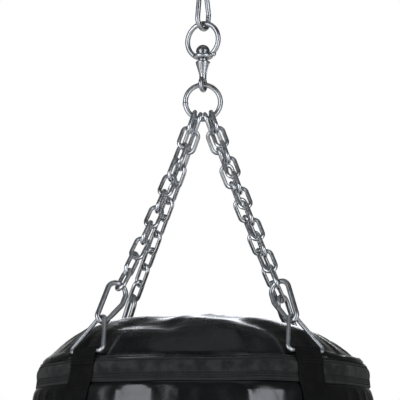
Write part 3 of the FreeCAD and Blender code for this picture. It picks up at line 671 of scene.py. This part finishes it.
# Pleats gathered under the collar: azimuth in degrees, start, fade length, width and height in mm.
NECK_PLEATS = (
    (-22, 25, 40, 3.0, 1.5),
    (-29, 25, 50, 3.4, 1.7),
    (-36, 26, 36, 3.0, 1.2),
    (-152, 25, 46, 3.0, 1.7),
    (-145, 25, 40, 3.0, 1.4),
    (-160, 26, 36, 3.0, 1.2),
    (-118, 26, 14, 5.0, 1.4),
    (-107, 26, 12, 4.0, 1.1),
    (-97, 26, 16, 5.0, 1.3),
    (-76, 26, 13, 4.5, 1.3),
    (-64, 26, 12, 4.0, 1.0),
    (40, 26, 34, 4.0, 1.3),
    (97, 26, 30, 4.0, 1.2),
    (150, 26, 34, 4.0, 1.3),
)
DEEPEST_DENT = 0.0017         # keeps the skin outside the foam


def body_radius(below):
    """Outer radius of the filled shell at a height below the collar's top (negative metres)."""
    profile = np.array(BODY_PROFILE) * MM
    return np.interp(below, profile[:, 0], profile[:, 1])


def shape_shell(points, angle):
    """Stuffing lumps, gathers under the collar, long soft pleats and a slight barrel."""
    below = points[..., 2] - COLLAR_TOP
    radial = np.stack([np.cos(angle), np.sin(angle), 0 * angle], axis=-1) + 0 * points
    free = smooth(0.0245, 0.034, -below) * smooth(BOTTOM + 0.004, BOTTOM + 0.03, points[..., 2])
    squeezed = points * np.array([1, 1, 0.6])
    lower = smooth(0.16, 0.45, -below)
    lumps = cloudy(squeezed, 0.14, 31, 2) * (1.2 + 1.8 * lower) * MM
    lumps = lumps + cloudy(points, 0.045, 37, 2) * 0.22 * MM
    gathers = np.zeros_like(below)
    for count, phase, size in NECK_GATHERS:
        wave = np.sin(count * angle + phase + 1.7 * np.sin(4 * angle + phase) + 14.0 * below)
        gathers = gathers + size * MM * wave
    reach = 0.045 + 0.03 * cloudy(radial * 0.5, 0.2, 41, 2)
    pucker = gathers * np.exp(-np.clip(-below - 0.026, 0, None) / np.clip(reach, 0.02, None))
    pleats = creases(points * np.array([1, 1, 0.4]), 0.09, 43) * 0.7 * MM
    barrel = -0.0012 * np.sin(math.pi * np.clip((-below - 0.1) / 1.05, 0, 1) * 3)
    for azimuth, start, fade, width, size in NECK_PLEATS:
        away = (angle - math.radians(azimuth) + math.pi) % TAU - math.pi
        past = np.clip(-below - start * MM, 0, None)
        run = smooth(start * MM, (start + 6) * MM, -below) * np.exp(-past / (fade * MM))
        pucker = pucker + size * MM * run * np.exp(-((away * BAG_RADIUS / (width * MM)) ** 2))
    move = lumps + pucker + pleats + barrel
    move = np.where(move < 0, -DEEPEST_DENT * np.tanh(-move / DEEPEST_DENT), move)
    return points + radial * (free * move)[..., None]


def make_shell():
    """Glossy filled tube with a turned-in foot."""
    fine = [(float(body_radius(-d * MM)), COLLAR_TOP - d * MM) for d in np.linspace(1.2, 90, 75)]
    foot = BOTTOM + BOTTOM_ROUND
    long_run = [(BAG_RADIUS, z) for z in np.linspace(COLLAR_TOP - 0.094, foot, 150)]
    round_foot = []
    for i in range(1, 9):
        a = math.pi / 2 * i / 8
        radius = BAG_RADIUS - BOTTOM_ROUND * (1 - math.cos(a))
        round_foot.append((radius, foot - BOTTOM_ROUND * math.sin(a)))
    inner = [(r - 0.0016, z + 0.0012) for r, z in round_foot[::-1][:-1]]
    inner += [(BAG_RADIUS - 0.0035, z) for z in np.linspace(foot, COLLAR_TOP - 0.09, 12)]
    inner += [(r - 0.0018, z) for r, z in fine[::-10]]
    shell = revolved("shell_skin", fine + long_run + round_foot + inner, SHELL_STEPS, shape_shell)
    for polygon in shell.data.polygons:
        polygon.flip()
    return finish_piece(shell, "shell", "bag", "vinyl", "bag_shell")


def shell_surface(angle, below):
    """Points on the shell's outer face, for pieces that lie on it."""
    angle, below = np.broadcast_arrays(np.asarray(angle, float), np.asarray(below, float))
    points = turned(body_radius(below), angle, COLLAR_TOP + below)
    return shape_shell(points[None], angle[None])[0]


# ------------------------------------------------------------------ straps
STRAP_WIDTH = 0.031
WEB = 0.0014                  # thickness of one layer
STRAP_REACH = 0.300           # how far down the bag a strap runs
RIB_PITCH = 0.0017
RIB_DEPTH = 0.09              # share of the webbing's thickness
EDGE_START = 0.94             # share of half the width where its edge starts to round
STRAP_DRIFT = {
    "front_left": -4.6 * MM,
    "front_right": 1.0 * MM,
    "back_left": 1.5 * MM,
    "back_right": -1.0 * MM,
}
SEWN_BOXES = ((-0.056, -0.086), (-0.160, -0.190), (-0.266, -0.296))     # top and foot of each
FLAP_ROWS = (-0.0035, -0.0058)


def drift(name, below):
    """How far a strap has wandered sideways at a height below the collar's top (negative metres)."""
    return STRAP_DRIFT[name] * smooth(0.006, 0.040, -below)


def strap_line(bar_radius, bar_up, azimuth):
    """Centre line of the webbing: flap, loop, then down the bag, as (radius, height over the collar)."""
    loop = BAR_WIRE + 0.0003 + WEB / 2
    lie = WEB / 2 + 0.0004
    on_collar = collar_radius(-0.006) + lie
    line = [(on_collar + WEB + 0.0002, -0.0075), (on_collar + WEB, -0.003)]
    line.append((bar_radius + loop + 0.0006, bar_up * 0.55))
    for degrees in range(-15, 196, 15):
        a = math.radians(degrees)
        line.append((bar_radius + loop * math.cos(a), bar_up + loop * math.sin(a)))
    line.append((bar_radius - loop * 0.6, bar_up - loop * 1.05))
    line.append((bar_radius + 0.0008, 0.0012 + WEB * 0.3))
    line.append((on_collar - 0.0012, 0.0009))
    for down in (0.0012, 0.004, 0.008, 0.012, 0.016, 0.020, 0.0235):
        line.append((collar_radius(-down) + lie + 0.0003, -down))
    for down in np.concatenate([np.linspace(0.027, 0.09, 16), np.linspace(0.1, STRAP_REACH, 40)]):
        on_shell = shell_surface(azimuth + np.linspace(-0.09, 0.09, 7), -down)
        line.append((float(np.hypot(on_shell[:, 0], on_shell[:, 1]).max()) + lie, -down))
    return np.array(line)


def resampled(line, step):
    """Even points along a line."""
    run = np.concatenate([[0], np.cumsum(np.linalg.norm(np.diff(line, axis=0), axis=1))])
    where = np.linspace(0, run[-1], int(run[-1] / step) + 1)
    return np.stack([np.interp(where, run, line[:, k]) for k in range(line.shape[1])], axis=1), where


def make_strap(name):
    """Webbing with rounded edges and real ribs, folded round the triangle's base bar."""
    azimuth, bar_radius, bar_z = CORNERS[name]
    line = strap_line(bar_radius, bar_z - COLLAR_TOP, azimuth)
    for _ in range(2):
        line[1:-1] = (line[:-2] + 2 * line[1:-1] + line[2:]) / 4
    path, run = resampled(line, 0.0006)
    tangent = np.gradient(path, axis=0)
    tangent /= np.linalg.norm(tangent, axis=1)[:, None]
    normal = np.stack([-tangent[:, 1], tangent[:, 0]], axis=1)
    half, thick = STRAP_WIDTH / 2, WEB / 2
    section = []
    for share in np.linspace(-EDGE_START, EDGE_START, 9):
        section.append((share * half, thick))
    section.append((half, 0.0))
    for share in np.linspace(EDGE_START, -EDGE_START, 9):
        section.append((share * half, -thick))
    section.append((-half, 0.0))
    section = np.array(section)
    ribs = 1 + RIB_DEPTH * np.sin(run * TAU / RIB_PITCH)
    out = np.array([math.cos(azimuth), math.sin(azimuth), 0])
    side = np.array([-math.sin(azimuth), math.cos(azimuth), 0])
    radius = path[:, :1] + normal[:, :1] * (section[:, 1] * ribs[:, None])
    height = path[:, 1:] + normal[:, 1:] * (section[:, 1] * ribs[:, None])
    across = section[:, 0] + drift(name, path[:, 1:])
    lying = smooth(0.0, 0.004, -(path[:, 1:]) - 0.001)
    curl = np.where(lying > 0, radius - np.sqrt(np.clip(radius ** 2 - across ** 2, 0, None)), 0) * lying
    verts = (radius - curl)[..., None] * out + across[..., None] * side
    verts[..., 2] = COLLAR_TOP + height
    uvs = np.stack([np.broadcast_to(np.cumsum(np.r_[0, np.abs(np.diff(section[:, 0]))]), radius.shape),
                    np.broadcast_to(run[:, None], radius.shape)], axis=-1)
    faces = tube_faces(len(path), len(section))
    strap = mesh_object("webbing_" + name, verts.reshape(-1, 3), faces, uvs.reshape(-1, 2))
    finish_piece(strap, "strap", "bag", "webbing", "strap_" + name)
    sew_strap(name, azimuth, line)


def strap_spot(name, azimuth, line, across, height):
    """Point on the strap's outer face where it lies on the bag, and its outward direction."""
    lying = line[-60:]
    radius = np.interp(-height, -lying[:, 1], lying[:, 0]) + WEB / 2
    turn = azimuth + (across + drift(name, height)) / radius
    return turned(radius, turn, COLLAR_TOP + height), turned(1.0, turn, 0)


def sew_strap(name, azimuth, line):
    """Sewn boxes with a cross on the bag, and two rows across the flap."""
    pile = Pile()
    half = STRAP_WIDTH / 2 - 0.003
    for top, foot in SEWN_BOXES:
        corners = [(-half, top), (half, top), (half, foot), (-half, foot)]
        runs = list(zip(corners, corners[1:] + corners[:1]))
        runs += [(corners[0], corners[2]), (corners[1], corners[3])]
        for (x1, z1), (x2, z2) in runs:
            share = np.linspace(0, 1, 12)
            spots = [strap_spot(name, azimuth, line, x1 + (x2 - x1) * t, z1 + (z2 - z1) * t) for t in share]
            stitch_line(pile, [s[0] for s in spots], [s[1] for s in spots], 3.2 * MM, 0.38 * MM)
    for height in FLAP_ROWS:
        share = np.linspace(-half, half, 12)
        spots = [strap_spot(name, azimuth, line, across, height) for across in share]
        points = [s[0] + s[1] * (WEB + 0.0002) for s in spots]
        stitch_line(pile, points, [s[1] for s in spots], 2.8 * MM, 0.38 * MM)
    finish_piece(pile.make("webbing_stitches_" + name), "thread", "bag", "webbing")


# ------------------------------------------------------------------ zip
def on_zip(along, across, lift):
    """Point over the zip's great circle: metres along, across and off the crown."""
    along, across, lift = np.broadcast_arrays(along, across, lift)
    angle = along / CROWN_RADIUS
    radius = CROWN_RADIUS + lift - across ** 2 / (2 * CROWN_RADIUS)
    x, flat = radius * np.sin(angle), radius * np.cos(angle)
    y = across * math.cos(ZIP_TILT) + flat * math.sin(ZIP_TILT)
    z = -across * math.sin(ZIP_TILT) + flat * math.cos(ZIP_TILT)
    return np.stack([x, y, CROWN - CROWN_RADIUS + z], axis=-1)


# Across the tape and over the crown, in mm.
TAPE_SECTION = ((-11, 0.5), (-10.6, 0.95), (-6, 1.05), (-3.4, 1.25), (0, 1.25), (3.4, 1.25), (6, 1.05),
                (10.6, 0.95), (11, 0.5), (6, 0.45), (0, 0.45), (-6, 0.45))
TOOTH_PITCH = 1.9 * MM
# Height over the crown in mm and size of a tooth's three outlines, and the outline's corners.
TOOTH_LAYERS = ((1.2, 1.0), (1.9, 1.0), (2.25, 0.7))
TOOTH_CORNERS = ((-0.5, -1), (0.5, -1), (0.62, 0.6), (0, 1), (-0.62, 0.6))


def make_zip():
    """Tape with stitched edges, and two rows of teeth that mesh."""
    half_run = CROWN_RADIUS * ZIP_HALF
    along = np.linspace(-half_run, half_run, 160)
    section = np.array(TAPE_SECTION) * MM
    points = on_zip(along[:, None], section[None, :, 0], section[None, :, 1])
    uvs = np.stack(np.broadcast_arrays(section[None, :, 0], along[:, None]), axis=-1)
    faces = tube_faces(len(along), len(section))
    tape = mesh_object("zip_cloth", points.reshape(-1, 3), faces, uvs.reshape(-1, 2))
    finish_piece(tape, "tape", "bag", "zip_black", "zip_tape")
    teeth = Pile()
    for i in range(int(2 * half_run / TOOTH_PITCH) - 2):
        middle = -half_run + (i + 1.5) * TOOTH_PITCH
        side = 1 if i % 2 else -1
        ring = []
        for lift, shrink in TOOTH_LAYERS:
            for u, v in TOOTH_CORNERS:
                run = middle + u * shrink * TOOTH_PITCH * 0.8
                ring.append(on_zip(run, side * (1.1 - v * shrink * 1.7) * MM, lift * MM))
        teeth.add(ring, tube_faces(len(TOOTH_LAYERS), len(TOOTH_CORNERS)))
    finish_piece(teeth.make("zip_teeth"), "zip", "bag", "zip_black")
    seams = Pile()
    for across in (-8.6, 8.6):
        line = on_zip(along, across * MM, 1.1 * MM)
        outs = line - np.array([0, 0, CROWN - CROWN_RADIUS])
        stitch_line(seams, line, outs / CROWN_RADIUS, 3.0 * MM, 0.3 * MM)
    finish_piece(seams.make("zip_stitches"), "thread", "bag", "zip_black")


# ------------------------------------------------------------------ back seam and foot
# Across the back seam, and off the shell, in mm.
SEAM_WIDTHS = (-8.2, -7.6, -6, -2, 2, 6, 7.6, 8.2, 6, -6)
SEAM_LIFTS = (-0.3, 0.35, 0.8, 0.7, 0.7, 0.8, 0.35, -0.3, -0.6, -0.6)
SEAM_ROWS = (2, 5)            # corners of that section under its two rows of stitches


def make_back_seam():
    """Flat felled seam down the back of the shell, with two rows of stitches."""
    azimuth = math.pi / 2
    below = -np.linspace(0.0262, COLLAR_TOP - BOTTOM - BOTTOM_ROUND - 0.001, 420)
    widths = np.array(SEAM_WIDTHS) * MM
    lifts = np.array(SEAM_LIFTS) * MM
    rows = []
    for b in below:
        turn = azimuth + widths / BAG_RADIUS
        face = shell_surface(turn, b)
        rows.append(face + turned(1.0, turn, 0) * (lifts + 0.0003)[:, None])
    points = np.array(rows)
    seam = mesh_object("back_seam", points.reshape(-1, 3), tube_faces(len(below), len(widths)))
    finish_piece(seam, "shell", "bag", "vinyl")
    pile = Pile()
    outs = np.broadcast_to([0, 1.0, 0], points[:, 0].shape)
    for k in SEAM_ROWS:
        stitch_line(pile, points[:, k], outs, 4.0 * MM, 0.36 * MM)
    finish_piece(pile.make("back_seam_stitches"), "thread", "bag", "vinyl")


PANEL_SAG = 0.0018
WELT_HEIGHT = 0.0012
FOOT_ROWS = (0.14, 0.86)       # sewn rows of the foot's band, as shares of its depth


def make_foot():
    """Sewn band round the foot, and the bottom panel with a welted edge."""
    low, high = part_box("bottom_binding")
    section = []
    for i in range(25):
        share = i / 24
        z = high.z + (low.z - high.z) * share
        edge = min(share, 1 - share) * (high.z - low.z)
        groove = sum(math.exp(-(((share - at) * 0.018 / 0.0006) ** 2)) for at in FOOT_ROWS)
        radius = high.x + 0.0016 - 0.0008 * (1 - float(smooth(0, 0.0016, edge))) - 0.0004 * groove
        section.append((radius, z))
    section += [(BAG_RADIUS - 0.001, low.z), (BAG_RADIUS - 0.001, high.z)]
    band = revolved("foot_band", section, BAND_STEPS)
    finish_piece(band, "collar", "bag", "collar_web", "bottom_binding")
    pile = Pile()
    for share in FOOT_ROWS:
        angle = np.linspace(0, TAU, 700)
        points = turned(high.x + 0.0014, angle, high.z + (low.z - high.z) * share)
        stitch_line(pile, points, turned(1.0, angle, 0), 3.8 * MM, 0.38 * MM)
    finish_piece(pile.make("foot_stitches"), "thread", "bag", "collar_web")
    rim = BAG_RADIUS - BOTTOM_ROUND - 0.0016
    radii = np.concatenate([[0.002], np.linspace(0.01, rim - 0.012, 30), rim - np.linspace(0.01, 0, 9)])
    angle = around(PANEL_STEPS)[None, :]
    sag = -PANEL_SAG * (1 - (radii / rim) ** 2)
    welt = WELT_HEIGHT * np.exp(-(((radii - rim + 0.005) / 0.0028) ** 2))
    height = BOTTOM + 0.0006 + sag - welt
    outer = turned(radii[:, None], angle, height[:, None])
    outer[..., 2] += cloudy(outer, 0.05, 51, 2) * 0.0006 * (1 - (radii / rim)[:, None] ** 4)
    inner = turned(radii[::-3][:, None], angle, BOTTOM + 0.0018)
    rows = len(outer) + len(inner)
    faces = grid_faces(rows, PANEL_STEPS, wrap_rows=True, wrap_cols=True)
    panel = mesh_object("foot_panel", np.concatenate([outer.reshape(-1, 3), inner.reshape(-1, 3)]), faces)
    finish_piece(panel, "shell", "bag", "vinyl", "bottom_panel")


# ------------------------------------------------------------------ metal and inside
DARK_STARTS = ("swivel_pin", "swivel_washer", "swivel_neck", "zip_")


def dress_cad():
    """Materials and smooth shading of the CAD pieces that stay."""
    for name, obj in NODES.items():
        if name.startswith("chain"):
            material = "chain"
        elif name.startswith("triangle"):
            material = "ring"
        elif name.endswith(("_pin", "_spring")) or name.startswith(DARK_STARTS):
            material = "dark"
        elif name == "foam_liner":
            material = "foam"
        elif name == "textile_fill":
            material = "textile"
        elif name.startswith(("bag", "bottom", "top_collar", "top_cover", "strap")):
            material = "shell"
        else:
            material = "zinc"
        paint(obj, material)
        mesh = obj.data
        mesh.polygons.foreach_set("use_smooth", [True] * len(mesh.polygons))
        mesh.set_sharp_from_angle(angle=math.radians(34))
        mesh.update()


# ------------------------------------------------------------------ stage, light and camera
LENS = 186.0381               # mm
SENSOR = 36.0                 # mm
CAMERA_TILT = 0.1447          # radians above level


def make_camera():
    data = bpy.data.cameras.new("photo_camera")
    data.sensor_width = SENSOR
    data.lens = LENS
    data.clip_start, data.clip_end = 0.05, 100.0
    camera = bpy.data.objects.new("photo_camera", data)
    camera.location = (-0.0029, -2.0266, RING_CENTRE - 0.394)
    camera.rotation_euler = (math.pi / 2 + CAMERA_TILT, 0, 0)
    bpy.context.scene.collection.objects.link(camera)
    bpy.context.scene.camera = camera


COOL_WHITE = (0.94, 0.98, 1.05)
# Name, place across, in depth and over the collar's top, width, length, and power in watts.
LIGHT_BOXES = (
    ("box_left", -1.92, -1.85, 0.35, 1.5, 2.2, 40.0),
    ("box_right", 1.52, -1.85, 0.35, 0.7, 2.2, 24.0),
    ("box_top", 0, -0.2, 2.4, 1.8, 1.6, 3.0),
    ("box_back", 0.05, 2.6, 0.8, 0.9, 0.9, 9.0),
)
# Strength that a reflection sees: dim all round, and bright straight behind the bag.
ROOM = (("From Min", 0.90), ("From Max", 0.975), ("To Min", 0.075), ("To Max", 0.70))
FILL = 0.8                    # strength that matt surfaces see


def area_light(name, place, target, width, height, power):
    data = bpy.data.lights.new(name, "AREA")
    data.shape = "RECTANGLE"
    data.size, data.size_y = width, height
    data.energy = power
    data.color = COOL_WHITE
    light = bpy.data.objects.new(name, data)
    light.location = place
    light.rotation_euler = (Vector(target) - Vector(place)).to_track_quat("-Z", "Y").to_euler()
    light.visible_camera = False
    bpy.context.scene.collection.objects.link(light)


def make_lights():
    """Four light boxes, and a world: white to the camera, dim in reflections, a fill on matt faces."""
    for name, x, y, up, width, length, power in LIGHT_BOXES:
        area_light(name, (x, y, COLLAR_TOP + up), (0, 0, COLLAR_TOP), width, length, power)
    world = bpy.data.worlds.new("studio")
    bpy.context.scene.world = world
    world.use_nodes = True
    tree = world.node_tree
    tree.nodes.clear()
    out = tree.nodes.new("ShaderNodeOutputWorld")
    mix = tree.nodes.new("ShaderNodeMixShader")
    seen = tree.nodes.new("ShaderNodeLightPath")
    white = tree.nodes.new("ShaderNodeBackground")
    room = tree.nodes.new("ShaderNodeBackground")
    white.inputs["Color"].default_value = (1, 1, 1, 1)
    white.inputs["Strength"].default_value = 1.0
    place = tree.nodes.new("ShaderNodeTexCoord")
    split = tree.nodes.new("ShaderNodeSeparateXYZ")
    tree.links.new(place.outputs["Generated"], split.inputs[0])
    back = tree.nodes.new("ShaderNodeMapRange")
    back.interpolation_type = "SMOOTHSTEP"
    for key, value in ROOM:
        back.inputs[key].default_value = value
    tree.links.new(split.outputs["Y"], back.inputs["Value"])
    tree.links.new(back.outputs[0], room.inputs["Strength"])
    fill = tree.nodes.new("ShaderNodeBackground")
    fill.inputs["Strength"].default_value = FILL
    plain = tree.nodes.new("ShaderNodeMixShader")
    tree.links.new(seen.outputs["Is Diffuse Ray"], plain.inputs["Fac"])
    tree.links.new(room.outputs[0], plain.inputs[1])
    tree.links.new(fill.outputs[0], plain.inputs[2])
    tree.links.new(seen.outputs["Is Camera Ray"], mix.inputs["Fac"])
    tree.links.new(plain.outputs[0], mix.inputs[1])
    tree.links.new(white.outputs[0], mix.inputs[2])
    tree.links.new(mix.outputs[0], out.inputs["Surface"])
    bpy.context.scene.view_settings.view_transform = "Standard"


FLOOR_DROP = 0.25             # below the bag's foot
FLOOR_REACH = 14.0


def make_floor():
    """Plain pale floor under the hanging bag."""
    z = BOTTOM - FLOOR_DROP
    steps = np.linspace(-FLOOR_REACH, FLOOR_REACH, 25)
    verts = [(x, y, z) for y in steps for x in steps]
    floor = mesh_object("studio_floor", verts, grid_faces(len(steps), len(steps)))
    s = Shader("studio_paint")
    cloud = s.noise(s.place(), 3.0, 4.0)
    s.set(Base_Color=s.blend(cloud, grey(0.80), grey(0.86)), Roughness=0.7)
    floor.data.materials.append(s.material)


# ------------------------------------------------------------------ build
make_cover()
make_collar()
make_shell()
for corner in CORNER_NAMES:
    make_strap(corner)
make_zip()
make_back_seam()
make_foot()
dress_cad()
make_camera()
make_lights()
make_floor()
